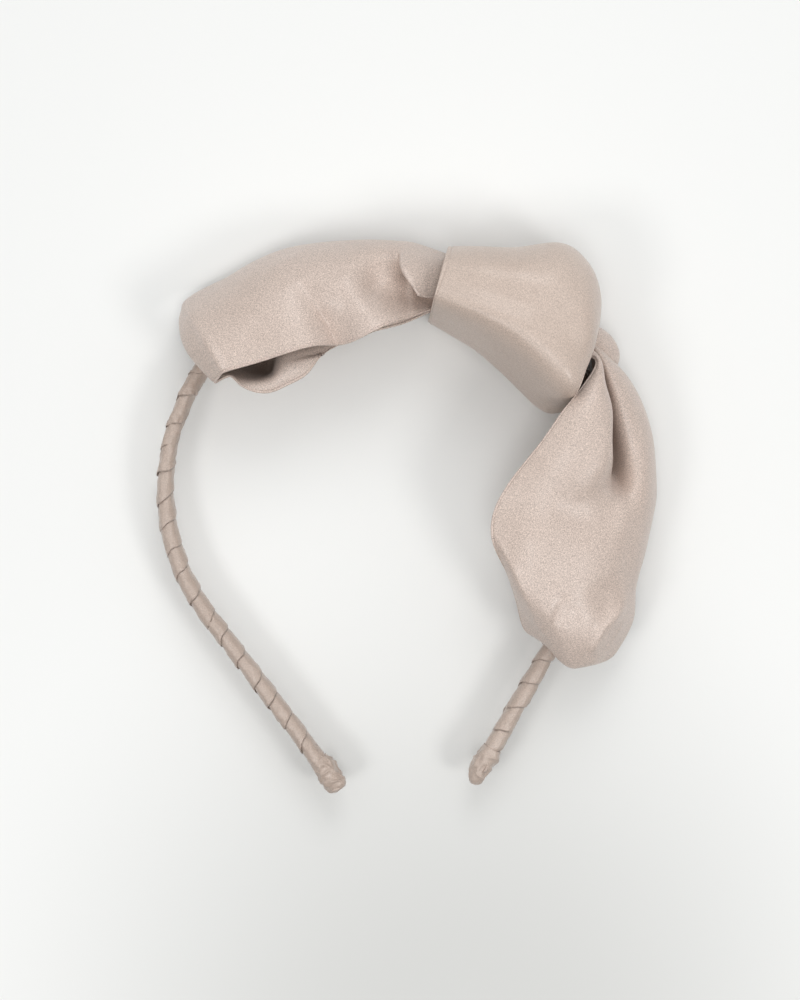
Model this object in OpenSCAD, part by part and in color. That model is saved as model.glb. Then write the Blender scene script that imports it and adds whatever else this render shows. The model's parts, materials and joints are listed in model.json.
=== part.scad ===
// Knotted satin headband, lying on its side.
// Millimetres. The origin is the centre of the head's circle, on the surface that the
// headband lies on. +Y points to the crown of the hoop, +X to the side with the knot.

/* [Hoop] */
// Radius of the crown arc, at the middle of the strip
crown_r = 63.2; // [62:0.2:65]
// Angle of the crown arc on each side of the top, out to the flex points
crown_half = 62; // [61:0.5:63]
// Radius of the tighter shoulder arcs
shoulder_r = 59.2; // [58:0.2:61]
// Angle that each shoulder arc turns through
shoulder_turn = 61.7; // [58:0.1:64]
// Straight length of each arm, down to its tip
arm_len = 61; // [50:0.5:70]
// Height of the hoop's middle plane above the surface
hoop_z = 10; // [9.5:0.5:11]

/* [Core strip] */
// Thickness of the springy core, across the hoop
core_t = 2.2; // [1.6:0.1:2.6]
// Width of the springy core
core_w = 6; // [5:0.2:6.4]
// Space left between the two strips at a flex point
flex_gap = 1.8; // [1.6:0.1:2.4]

/* [Ribbon wrapping] */
// Wrapped thickness, across the hoop
wrap_t = 5; // [4.6:0.1:5.6]
// Wrapped width
wrap_w = 8.4; // [7.6:0.1:8.6]
// Length of ribbon folded over each tip
tip_len = 7; // [5:0.5:9]
// Thickness of the left tip's end, which is blunt
left_tip_t = 5.4; // [4:0.2:6]
// Thickness of the right tip's end, which is slimmer
right_tip_t = 3.4; // [3:0.2:5]

/* [Satin sash] */
// Thickness of one folded layer of the sash
layer_t = 1.2; // [0.8:0.1:1.4]
// Wall of the knot band
band_t = 1.8; // [1.4:0.1:2.2]
// Diameter of the sewing thread
thread_d = 0.7; // [0.5:0.1:0.8]
// Number of stitches that close the knot band
stitch_count = 5; // [3:1:7]

/* [Hidden] */

core_colour = [0.93, 0.92, 0.90];
satin_colour = [0.80, 0.73, 0.69];
satin_shade = [0.74, 0.66, 0.61];
thread_colour = [0.70, 0.62, 0.57];

// Half of a flex gap, as an angle of the hoop
gap_half = flex_gap / 2 / crown_r * 180 / PI;
// Angle from the top of the crown at which an arm becomes straight
arm_angle = crown_half + shoulder_turn;
// Length of bare core past the end of the wrapping, inside the tip fold
core_past_wrap = tip_len - 2;
// How far a straight stretch runs into its arc, and how much slimmer it is there
run_in = 0.1;
hair = 0.01;
// Length of one slip stitch
stitch_len = 3;
// Where the thread goes round the hoop: on the crown, and along the right arm
left_tack_angle = -46;
right_tack_place = 15;
// Share of an end fold's length left open where it meets a layer
fold_seam = 0.06;
// Steps along and across one layer of the sash
steps_u = 14;
steps_v = 6;
// Steps round the knot band
steps_ring = 32;
// Steps along the knot band
steps_band = 12;

// Each layer of the sash is a row of stations. A station is the three control points of
// a curve across the layer, from its outer edge over its shoulder to its inner hem.

// Left loop, from the creased end to the knot
left_front = [
    [[-53.5, 56, 8], [-50, 50, 27], [-41.5, 36, 32.5]],
    [[-40.5, 66, 3], [-37, 60, 31], [-27, 39.5, 36.5]],
    [[-24, 71.5, 0.6], [-21, 65, 33], [-14.5, 42, 37]],
    [[-8, 71.8, 0.6], [-6, 65, 33], [-4, 43, 37]],
    [[6, 71, 1], [6, 64, 33], [8, 48.5, 36]],
    [[19.4, 64.6, 6], [19, 60, 30], [17.3, 52.5, 31.5]]
];

// The back layer rises on the head side of the hoop. Past the creased end its outer edge
// goes down and under the hoop
left_back = [
    [[-44, 42, 15.8], [-42.5, 38, 20], [-41, 35, 26]],
    [[-33, 46.5, 1.2], [-31, 38, -2], [-32, 29.5, 29]],
    [[-22, 63, 1.2], [-18, 48, -3], [-20, 34, 29]],
    [[-8, 66, 1.2], [-6, 54, -3], [-5, 42, 26]],
    [[6, 66, 1.2], [6, 56, -2], [8, 49, 20]],
    [[18.6, 62, 4.6], [18.2, 57, 2], [17.5, 53.5, 12]]
];

// Middle of the crease between the left loop's front and back layers, over the hoop
left_crease = [[-56, 48, 15.8], [-57, 43, 22], [-47, 33.5, 28]];

// Right loop, from the knot to the gathered end
right_front = [
    [[63.5, 30, 9], [62, 27, 28], [53.5, 22, 32]],
    [[73.5, 16, 1.5], [69, 16, 27], [44.5, 12, 34]],
    [[75.5, 0, 0.6], [72, 2, 29], [32, 0, 33.5]],
    [[73.5, -12, 0.6], [68, -9, 31], [27.5, -10, 33]],
    [[71, -23, 0.6], [62, -22, 32], [31, -20, 32]],
    [[68.5, -34, 2], [60, -35, 30], [34.5, -29, 31]],
    [[63.5, -44, 7], [57, -46, 27], [41, -39, 28]]
];

right_back = [
    [[64, 24, 1.4], [57, 20, -3], [52, 17, 18]],
    [[71, 12, 1.2], [60, 10, -3], [46, 10, 22]],
    [[72, 0, 1.2], [58, 0, -3], [39, -1, 23]],
    [[70, -10, 1.2], [55, -9, -3], [36, -10, 22]],
    [[66, -19, 1.2], [53, -17, -3], [37, -18, 22]],
    [[50, -29, 1.4], [45, -28, 2], [39, -26, 22]],
    [[46.5, -37, 15.8], [45, -36, 19], [41.5, -34, 22]]
];

// Middle of the gathered fold between the right loop's front and back layers
right_gather = [[56, -50, 15.8], [50, -52, 22], [42.5, -45, 25]];

// The knot band as rings along the hoop: middle, half width across the hoop, half height
// and the direction of the ring in plan
band_rings = [
    [[17.6, 58, 19], 10, 17.5, 70],
    [[26, 54.8, 19.4], 13.5, 20, 67],
    [[36.5, 51, 20.2], 16.5, 20.8, 64],
    [[46.5, 45.3, 20.4], 19.5, 21, 63],
    [[52.3, 38.2, 19.9], 18.5, 20.5, 62],
    [[54, 30.2, 19.5], 11.5, 18.5, 60]
];
// Squareness of the rings: 2 is an ellipse, more is boxier
ring_power = 2.6;

// ---------------------------------------------------------------- curves and lofts

// Smooth interpolation between the middle two of four values
function glide(a, b, c, d, t) =
    0.5 * (2 * b + (c - a) * t + (2 * a - 5 * b + 4 * c - d) * t * t
        + (3 * b - a - 3 * c + d) * t * t * t);

// Item of a list, with an index outside the list mirrored past its end
function past(rows, i) =
    i < 0 ? 2 * rows[0] - rows[1]
    : i >= len(rows) ? 2 * rows[len(rows) - 1] - rows[len(rows) - 2]
    : rows[i];

// Value at u, from 0 to 1, along a list of stations
function along(rows, u) =
    let(s = u * (len(rows) - 1), i = min(floor(s), len(rows) - 2), t = s - i)
    glide(past(rows, i - 1), rows[i], rows[i + 1], past(rows, i + 2), t);

// Point at v on the curve of three control points
function across(c, v) =
    c[0] * (1 - v) * (1 - v) + c[1] * 2 * v * (1 - v) + c[2] * v * v;

function on_layer(rows, u, v) = across(along(rows, u), v);

// Unit normal of a layer
function layer_normal(rows, u, v) =
    let(
        e = 0.02,
        du = on_layer(rows, min(u + e, 1), v) - on_layer(rows, max(u - e, 0), v),
        dv = on_layer(rows, u, min(v + e, 1)) - on_layer(rows, u, max(v - e, 0)),
        n = cross(du, dv)
    )
    n / norm(n);

// One layer of the sash as a closed solid. A share of its length is left open at each end
// for a seam
module layer(rows, seam = 0) {
    side_a = [for (i = [0 : steps_u], j = [0 : steps_v])
        let(u = seam + (1 - 2 * seam) * i / steps_u, v = j / steps_v)
        on_layer(rows, u, v) + layer_normal(rows, u, v) * layer_t / 2];
    side_b = [for (i = [0 : steps_u], j = [0 : steps_v])
        let(u = seam + (1 - 2 * seam) * i / steps_u, v = j / steps_v)
        on_layer(rows, u, v) - layer_normal(rows, u, v) * layer_t / 2];
    n = steps_v + 1;
    m = len(side_a);
    function id(i, j) = i * n + j;
    skin_a = [for (i = [0 : steps_u - 1], j = [0 : steps_v - 1]) each [
        [id(i, j), id(i, j + 1), id(i + 1, j + 1)],
        [id(i, j), id(i + 1, j + 1), id(i + 1, j)]]];
    skin_b = [for (f = skin_a) [f[2] + m, f[1] + m, f[0] + m]];
    rim = concat(
        [for (j = [0 : steps_v]) id(0, j)],
        [for (i = [1 : steps_u]) id(i, steps_v)],
        [for (j = [steps_v - 1 : -1 : 0]) id(steps_u, j)],
        [for (i = [steps_u - 1 : -1 : 1]) id(i, 0)]);
    walls = [for (k = [0 : len(rim) - 1])
        let(a = rim[k], b = rim[(k + 1) % len(rim)])
        each [[b, a, a + m], [b, a + m, b + m]]];
    polyhedron(concat(side_a, side_b), concat(skin_a, skin_b, walls), convexity = 6);
}

// One point of a ring, at angle a round it; shrink makes the ring smaller. The ring is
// flat where it would go below the surface
function ring_point(ring, a, shrink) =
    let(
        c = cos(a),
        s = sin(a),
        x = sign(c) * pow(abs(c), 2 / ring_power) * (ring[1] - shrink),
        z = sign(s) * pow(abs(s), 2 / ring_power) * (ring[2] - shrink)
    )
    [
        ring[0][0] + x * cos(ring[3]),
        ring[0][1] + x * sin(ring[3]),
        max(0, ring[0][2] + z)
    ];

function ring_points(rings, steps, shrink) = [
    for (i = [0 : steps], k = [0 : steps_ring - 1])
        ring_point(along(rings, i / steps), k * 360 / steps_ring, shrink)];

// Quads of one ringed skin, from point number first
function ring_skin(steps, first) = [
    for (i = [0 : steps - 1], k = [0 : steps_ring - 1])
        let(k2 = (k + 1) % steps_ring, a = first + i * steps_ring, b = a + steps_ring)
        each [[a + k, b + k, b + k2], [a + k, b + k2, a + k2]]];

// An open tube with a wall, through rings
module ringed_tube(rings, wall) {
    outer = ring_points(rings, steps_band, 0);
    inner = ring_points(rings, steps_band, wall);
    m = len(outer);
    inside = [for (f = ring_skin(steps_band, m)) [f[2], f[1], f[0]]];
    last = steps_band * steps_ring;
    lips = [for (k = [0 : steps_ring - 1])
        let(k2 = (k + 1) % steps_ring)
        each [
            [k, k2, m + k2], [k, m + k2, m + k],
            [last + k2, last + k, m + last + k], [last + k2, m + last + k, m + last + k2]
        ]];
    polyhedron(concat(outer, inner), concat(ring_skin(steps_band, 0), inside, lips),
        convexity = 6);
}

// ---------------------------------------------------------------- the hoop

// Section with round ends: thickness t across the hoop, width w along Z
module stadium(t, w) {
    square([t, w - t], center = true);
    for (s = [-1, 1])
        translate([0, s * (w - t) / 2])
            circle(d = t, $fn = 32);
}

// Sweeps a section from angle a to angle b, measured from the top towards +X
module crown_sweep(a, b) {
    rotate([0, 0, 90 - b])
        rotate_extrude(angle = b - a, $fn = 180)
            translate([crown_r, 0])
                children();
}

module shoulder_sweep(a, b) {
    translate([sin(crown_half), cos(crown_half), 0] * (crown_r - shoulder_r))
        rotate([0, 0, 90 - b])
            rotate_extrude(angle = b - a, $fn = 180)
                translate([shoulder_r, 0])
                    children();
}

// Start of the straight arm, as a point in plan
function arm_start() =
    [sin(crown_half), cos(crown_half)] * (crown_r - shoulder_r)
    + [sin(arm_angle), cos(arm_angle)] * shoulder_r;

// Places its children at a distance along the right arm, with +Z along the arm
module on_arm(distance) {
    p = arm_start();
    translate([p[0], p[1], 0])
        rotate([0, 0, -arm_angle])
            translate([distance, 0, 0])
                rotate([90, 0, 90])
                    children();
}

module at_hoop_height() {
    translate([0, 0, hoop_z])
        children();
}

// Crown stretch of a section, from flex point to flex point
module crown_stretch() {
    at_hoop_height()
        crown_sweep(-crown_half + gap_half, crown_half - gap_half)
            children();
}

// Right arm stretch, from the flex point to a distance along the arm. The second child
// is the straight part's section, a hair slimmer, so that it runs cleanly into the arc
module arm_stretch(distance) {
    at_hoop_height() {
        shoulder_sweep(crown_half + gap_half, arm_angle)
            children(0);
        on_arm(-run_in)
            linear_extrude(distance + run_in)
                children(1);
    }
}

// Sections of the core and of the wrapping round it, thinned by less on every face
module core_section(less = 0) {
    stadium(core_t - 2 * less, core_w - 2 * less);
}

module wrap_section(less = 0) {
    difference() {
        stadium(wrap_t - 2 * less, wrap_w - 2 * less);
        stadium(core_t + 2 * less, core_w + 2 * less);
    }
}

module core_crown() {
    color(core_colour)
        crown_stretch()
            core_section();
}

module core_right() {
    color(core_colour)
        arm_stretch(arm_len - tip_len + core_past_wrap) {
            core_section();
            core_section(hair);
        }
}

module core_left() {
    mirror([1, 0, 0])
        core_right();
}

module wrap_crown() {
    color(satin_colour)
        crown_stretch()
            wrap_section();
}

module wrap_right() {
    color(satin_colour)
        arm_stretch(arm_len - tip_len) {
            wrap_section();
            wrap_section(hair);
        }
}

module wrap_left() {
    mirror([1, 0, 0])
        wrap_right();
}

// Ribbon folded over a tip: a sleeve round the bare core and a closed, tapering end
module tip_fold(end_t) {
    color(satin_shade)
        at_hoop_height() {
            on_arm(arm_len - tip_len)
                linear_extrude(core_past_wrap)
                    wrap_section();
            on_arm(arm_len - tip_len + core_past_wrap)
                linear_extrude(tip_len - core_past_wrap, scale = [end_t / wrap_t, 0.85])
                    stadium(wrap_t, wrap_w);
        }
}

module right_tip_fold() {
    tip_fold(right_tip_t);
}

module left_tip_fold() {
    mirror([1, 0, 0])
        tip_fold(left_tip_t);
}

// ---------------------------------------------------------------- the sash

module left_loop_front() {
    color(satin_colour)
        layer(left_front);
}

module left_loop_back() {
    color(satin_shade)
        layer(left_back);
}

// The crease that joins the front and back layers at the left end
module left_loop_end() {
    color(satin_shade)
        layer([left_front[0], left_crease, left_back[0]], fold_seam);
}

module right_loop_front() {
    color(satin_colour)
        layer(right_front);
}

module right_loop_back() {
    color(satin_shade)
        layer(right_back);
}

// The gathered fold that joins the two layers at the lower end
module right_loop_end() {
    last = len(right_front) - 1;
    color(satin_shade)
        layer([right_front[last], right_gather, right_back[last]], fold_seam);
}

module knot_band() {
    color(satin_colour)
        ringed_tube(band_rings, band_t);
}

// The gathered middle of the sash, lying on the hoop inside the knot band
module knot_core() {
    color(satin_shade)
        hull() {
            translate([26.5, 54.5, 26])
                scale([6, 6, 9])
                    sphere(1, $fn = 24);
            translate([47, 41, 27])
                scale([8, 8, 10])
                    sphere(1, $fn = 24);
        }
}

// Slip stitches that close the knot band, in a row on its head side
module knot_stitches() {
    color(thread_colour)
        for (i = [0 : stitch_count - 1]) {
            ring = along(band_rings, 0.25 + 0.5 * i / (stitch_count - 1));
            translate(ring_point(ring, 180, -thread_d / 4))
                cylinder(d = thread_d, h = stitch_len, center = true, $fn = 16);
        }
}

// Section of a band of thread round the wrapping
module thread_section() {
    difference() {
        stadium(wrap_t + 2 * thread_d, wrap_w + 2 * thread_d);
        stadium(wrap_t, wrap_w);
    }
}

module left_tack() {
    half_turn = thread_d / 2 / crown_r * 180 / PI;
    color(thread_colour)
        at_hoop_height()
            crown_sweep(left_tack_angle - half_turn, left_tack_angle + half_turn)
                thread_section();
}

module right_tack() {
    color(thread_colour)
        at_hoop_height()
            on_arm(right_tack_place)
                linear_extrude(thread_d, center = true)
                    thread_section();
}

core_crown();
core_left();
core_right();
wrap_crown();
wrap_left();
wrap_right();
left_tip_fold();
right_tip_fold();
left_loop_front();
left_loop_end();
left_loop_back();
right_loop_front();
right_loop_end();
right_loop_back();
knot_band();
knot_core();
knot_stitches();
left_tack();
right_tack();
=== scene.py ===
import bmesh
import bpy
import json
import math
import numpy as np
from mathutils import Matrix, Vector

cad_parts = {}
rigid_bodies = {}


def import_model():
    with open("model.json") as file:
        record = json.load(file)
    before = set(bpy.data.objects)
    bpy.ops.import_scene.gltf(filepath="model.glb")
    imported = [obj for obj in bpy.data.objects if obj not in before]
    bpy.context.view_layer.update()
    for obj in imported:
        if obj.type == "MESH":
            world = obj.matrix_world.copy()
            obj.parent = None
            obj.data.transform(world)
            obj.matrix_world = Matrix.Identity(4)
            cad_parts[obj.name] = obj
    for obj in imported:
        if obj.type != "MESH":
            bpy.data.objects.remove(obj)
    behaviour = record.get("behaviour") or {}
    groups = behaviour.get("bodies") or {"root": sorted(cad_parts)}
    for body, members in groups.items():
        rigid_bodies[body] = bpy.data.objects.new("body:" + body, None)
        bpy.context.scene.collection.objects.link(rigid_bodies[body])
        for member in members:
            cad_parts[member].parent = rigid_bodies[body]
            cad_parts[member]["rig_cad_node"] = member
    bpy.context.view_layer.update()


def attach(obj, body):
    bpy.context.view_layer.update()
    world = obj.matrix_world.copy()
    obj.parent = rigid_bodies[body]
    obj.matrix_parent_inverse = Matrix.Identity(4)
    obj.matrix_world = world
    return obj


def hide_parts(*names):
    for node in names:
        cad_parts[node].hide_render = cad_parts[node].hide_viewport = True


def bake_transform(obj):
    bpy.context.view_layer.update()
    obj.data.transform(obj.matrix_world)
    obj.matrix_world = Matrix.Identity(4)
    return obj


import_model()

MM = 0.001
UP = np.array([0, 0, 1.0])

# ------------------------------------------------------------------ sizes, in mm

# The hoop: crown arc, shoulder arcs and straight arms, as in the CAD
CROWN_R = 63.2
CROWN_HALF = math.radians(62)
SHOULDER_R = 59.2
SHOULDER_TURN = math.radians(61.7)
ARM_LEN = 61.0
HOOP_Z = 10.0
TIP_LEN = 7.0
FLEX_S = CROWN_R * CROWN_HALF
ARM_S = FLEX_S + SHOULDER_R * SHOULDER_TURN
TIP_S = ARM_S + ARM_LEN

# How far to either side of a flex hinge the wrapping's bend piece reaches, and how far past that its
# run is cut
BEND_REACH = 12.0
BEND_CUT = 6

# The satin ribbon wound round it
WRAP_HALF_T = 2.12
WRAP_HALF_W = 3.85
WRAP_POWER = 2.5
PITCH = 7.3
RIBBON_W = 10.4
RIBBON_PLY = 0.34
RIBBON_STEP = 0.5
STEPS_TURN = 72
STEPS_W = 18

# The tip sleeves: how far they reach back over the wrapping, and where that wrapping ends
SLEEVE_LAP = 3.2
RIBBON_PAST = 0.2

# The sash: two plies of satin, with a rounded hem and the line pressed behind it
CLOTH_T = 0.72
HEM_LINE = 0.68
CELL = 0.55
KNOT_HALF = 0.5
KNOT_STEPS = 321
FLOOR_GAP = 0.5
# Distances from a hem at which a row has points: close together round the hem and its line
RIM = [0, 0.03, 0.1, 0.2, 0.33, 0.46, 0.58, 0.68, 0.8, 0.94, 1.15, 1.45, 1.8]

# Threads: radius and lift of the tacks, their turns and length, and the knot's slip stitches
TACK_R = 0.22
TACK_LIFT = 0.28
TACK_TURNS = 3
TACK_POINTS = 150
TACK_LEN = 1.5
STITCH_R = 0.17
STITCH_ROW = 0.87
STITCHES = 9

# The camera: place in mm, lens, and turn about the line of sight in degrees
CAMERA_AT = (3.1, -1.9, 710)
CAMERA_LENS = 59.64
CAMERA_TURN = 3.685
FLOOR_HALF_M = 1.6


# ------------------------------------------------------------------ curves and grids


def spline(points, t, knots):
    """Natural cubic spline through points along the first axis, at parameters t."""
    n = len(points)
    flat = points.reshape(n, -1)
    gap = np.diff(knots)[:, None]
    slope = np.diff(flat, axis=0) / gap
    system, right = np.eye(n), np.zeros_like(flat)
    for i in range(1, n - 1):
        a, b = gap[i - 1, 0], gap[i, 0]
        system[i, i - 1:i + 2] = (a, 2 * (a + b), b)
        right[i] = 6 * (slope[i] - slope[i - 1])
    bend = np.linalg.solve(system, right)
    i = np.clip(np.searchsorted(knots, t, side="right") - 1, 0, n - 2)
    h = gap[i]
    f = (t - knots[i])[:, None] / h
    e = 1 - f
    out = e * flat[i] + f * flat[i + 1]
    out += ((e ** 3 - e) * bend[i] + (f ** 3 - f) * bend[i + 1]) * h * h / 6
    return out.reshape(len(t), *points.shape[1:])


def spaced(points):
    """Knots for points along the first axis, from the square roots of their mean gaps."""
    gaps = np.linalg.norm(np.diff(points, axis=0), axis=-1)
    gaps = gaps.reshape(len(gaps), -1).mean(axis=1)
    return np.concatenate([[0], np.cumsum(np.sqrt(gaps))])


def through(points, count):
    """That many points on a smooth curve, or surface, through points along the first axis."""
    knots = spaced(points)
    return spline(points, np.linspace(0, knots[-1], count), knots)


def net_grid(net, nu, nv):
    """Smooth surface through a net of control points, as an nu by nv grid."""
    across = through(np.array(net, float).transpose(1, 0, 2), nv)
    return through(across.transpose(1, 0, 2), nu)


def resample_rows(grid, cell, rim):
    """Each row again by its real length, with points close together at both ends."""
    longest = max(np.linalg.norm(np.diff(r, axis=0), axis=1).sum() for r in grid)
    inner = max(8, int((longest - 2 * rim[-1]) / cell))
    rows = []
    for r in grid:
        d = np.concatenate([[0], np.cumsum(np.linalg.norm(np.diff(r, axis=0), axis=1))])
        edge = np.array(rim) * min(1, 0.4 * d[-1] / rim[-1])
        at = np.concatenate([
            edge, np.linspace(edge[-1], d[-1] - edge[-1], inner + 1)[1:-1],
            d[-1] - edge[::-1],
        ])
        rows.append(np.stack([np.interp(at, d, r[:, k]) for k in range(3)], axis=1))
    return np.array(rows)


def even_columns(grid, cell):
    """The grid again with its rows spaced by the longest column's real length."""
    steps = np.linalg.norm(np.diff(grid, axis=0), axis=2).mean(axis=1)
    d = np.concatenate([[0], np.cumsum(steps)])
    at = np.linspace(0, d[-1], max(8, int(d[-1] / cell)) + 1)
    flat = grid.reshape(len(grid), -1)
    out = np.stack([np.interp(at, d, flat[:, k]) for k in range(flat.shape[1])], axis=1)
    return out.reshape(len(at), *grid.shape[1:])


def normals(grid):
    n = np.cross(np.gradient(grid, axis=0), np.gradient(grid, axis=1))
    return n / np.maximum(np.linalg.norm(n, axis=2, keepdims=True), 1e-9)


def smooth_noise(points, size, seed, octaves=2):
    """Soft noise from -1 to 1 on points, with features of that size in mm."""
    r = np.random.default_rng(seed)
    total, gain = np.zeros(points.shape[:-1]), 0.0
    for o in range(octaves):
        for _ in range(7):
            way = r.normal(size=3)
            way *= 2 * math.pi / (size / 2 ** o) / np.linalg.norm(way) * r.uniform(0.6, 1.2)
            total += np.sin(points @ way + r.uniform(0, 2 * math.pi)) * 0.5 ** o
            gain += 0.5 ** o * 0.4
    return total / gain


def along_path(points, path):
    """Distance in plan from each point to a path, and how far along the path it is, 0..1."""
    path = np.array(path, float)
    xy = points[..., :2]
    lengths = np.linalg.norm(np.diff(path, axis=0), axis=1)
    best = np.full(xy.shape[:-1], 1e9)
    place = np.zeros(xy.shape[:-1])
    side = np.zeros(xy.shape[:-1])
    done = 0.0
    for a, b, length in zip(path[:-1], path[1:], lengths):
        d = (b - a) / length
        t = np.clip((xy - a) @ d, 0, length)
        away = xy - (a + t[..., None] * d)
        dist = np.linalg.norm(away, axis=-1)
        near = dist < best
        best = np.where(near, dist, best)
        place = np.where(near, (done + t) / lengths.sum(), place)
        side = np.where(near, d[0] * away[..., 1] - d[1] * away[..., 0], side)
        done += length
    return best * np.sign(side), place


def crease(grid, path, depth, width, power=2.0, fade=(0.15, 0.15)):
    """Heights to add for a valley (depth below 0) or ridge along a path in plan."""
    dist, place = along_path(grid, path)
    start = np.clip(place / max(fade[0], 1e-6), 0, 1)
    stop = np.clip((1 - place) / max(fade[1], 1e-6), 0, 1)
    ends = np.sin(start * math.pi / 2) * np.sin(stop * math.pi / 2)
    return depth * ends * np.exp(-np.abs(dist / width) ** power)


def new_mesh(name, verts, faces):
    mesh = bpy.data.meshes.new(name)
    mesh.from_pydata([tuple(p) for p in np.asarray(verts) * MM], [], faces)
    mesh.validate()
    mesh.update()
    mesh.polygons.foreach_set("use_smooth", [True] * len(mesh.polygons))
    obj = bpy.data.objects.new(name, mesh)
    bpy.context.scene.collection.objects.link(obj)
    return obj


def fix_normals(obj):
    bm = bmesh.new()
    bm.from_mesh(obj.data)
    bmesh.ops.recalc_face_normals(bm, faces=bm.faces)
    bm.to_mesh(obj.data)
    bm.free()
    obj.data.update()


def shell_faces(nu, nv, closed=False, turned=False):
    """Faces of a thin shell whose two skins share their first and last columns. closed joins
    the last row to the first; turned winds both skins the other way round."""
    top_id = np.arange(nu * nv).reshape(nu, nv)
    low_id = top_id.copy()
    low_id[:, 1:-1] = nu * nv + np.arange(nu * (nv - 2)).reshape(nu, nv - 2)
    if closed:
        top_id[-1], low_id[-1] = top_id[0], low_id[0]
    faces = []
    for ids, flip in ((top_id, turned), (low_id, not turned)):
        q = np.stack([ids[:-1, :-1], ids[1:, :-1], ids[1:, 1:], ids[:-1, 1:]], axis=-1)
        q = q.reshape(-1, 4)
        faces += (q[:, ::-1] if flip else q).tolist()
    for row in () if closed else (0, nu - 1):
        for j in range(nv - 1):
            q = list(dict.fromkeys(int(k) for k in (
                top_id[row, j], top_id[row, j + 1], low_id[row, j + 1], low_id[row, j])))
            if len(q) > 2:
                faces.append(q)
    return faces


def both_skins(top, low, width):
    """Top values, then the low ones between the two shared columns, as one list."""
    return np.concatenate([top.reshape(-1, width), low[:, 1:-1].reshape(-1, width)])


def tube_walls(steps, turn):
    """Faces between rings of that many points, without the two ends."""
    faces = []
    for i in range(steps - 1):
        for k in range(turn):
            n = (k + 1) % turn
            faces.append([i * turn + k, i * turn + n, (i + 1) * turn + n, (i + 1) * turn + k])
    return faces


def set_uv(obj, uv):
    """UV per vertex, in metres of cloth."""
    layer = obj.data.uv_layers.new(name="cloth")
    loops = np.zeros(len(obj.data.loops), np.int32)
    obj.data.loops.foreach_get("vertex_index", loops)
    layer.data.foreach_set("uv", uv[loops].astype(np.float32).ravel())


def hem_profile(d, half, line_at=HEM_LINE):
    """Half thickness of the cloth at a distance from its hem: rounded, with a pressed line."""
    round_edge = np.sqrt(np.clip(1 - (1 - np.clip(d / half, 0, 1)) ** 2, 0, 1))
    line = 0.55 * np.exp(-((d - line_at) / 0.17) ** 2)
    return half * (round_edge - line)


def cloth(name, grid, half=CLOTH_T / 2, closed=False, line_at=HEM_LINE):
    """A closed sheet with thickness round a grid of middle points. Its hems are the rows'
    two ends; closed joins the last row to the first."""
    wide = np.concatenate([grid[-3:-1], grid, grid[1:3]]) if closed else grid
    n = normals(wide)[2:-2] if closed else normals(grid)
    d = np.concatenate([
        np.zeros((len(grid), 1)), np.cumsum(np.linalg.norm(np.diff(grid, axis=1), axis=2), axis=1)
    ], axis=1)
    h = np.minimum(hem_profile(d, half, line_at), hem_profile(d[:, -1:] - d, half))
    h[:, 0] = h[:, -1] = 0
    nu, nv = grid.shape[:2]
    top, low = grid + n * h[..., None], grid - n * h[..., None]
    verts = both_skins(top, low, 3)
    faces = shell_faces(nu, nv, closed)
    steps = np.linalg.norm(np.diff(grid, axis=0), axis=2).mean(axis=1)
    u = np.concatenate([[0], np.cumsum(steps)])
    uv = np.stack([np.repeat(u, nv), d.ravel()], axis=1).reshape(nu, nv, 2)
    uv = both_skins(uv, uv, 2)
    used = np.unique(np.concatenate([np.array(f) for f in faces]))
    renumber = np.full(len(verts), -1)
    renumber[used] = np.arange(len(used))
    obj = new_mesh(name, verts[used], [[int(renumber[k]) for k in f] for f in faces])
    set_uv(obj, uv[used] * MM)
    fix_normals(obj)
    return obj


# ------------------------------------------------------------------ materials

# Threads of the weave, as noise cells for each metre along and across the cloth
THREADS = (2200.0, 5200.0, 1.0)


def node(tree, kind, **sets):
    n = tree.nodes.new(kind)
    for k, v in sets.items():
        if k in n.inputs:
            n.inputs[k].default_value = v
        else:
            setattr(n, k, v)
    return n


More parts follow.
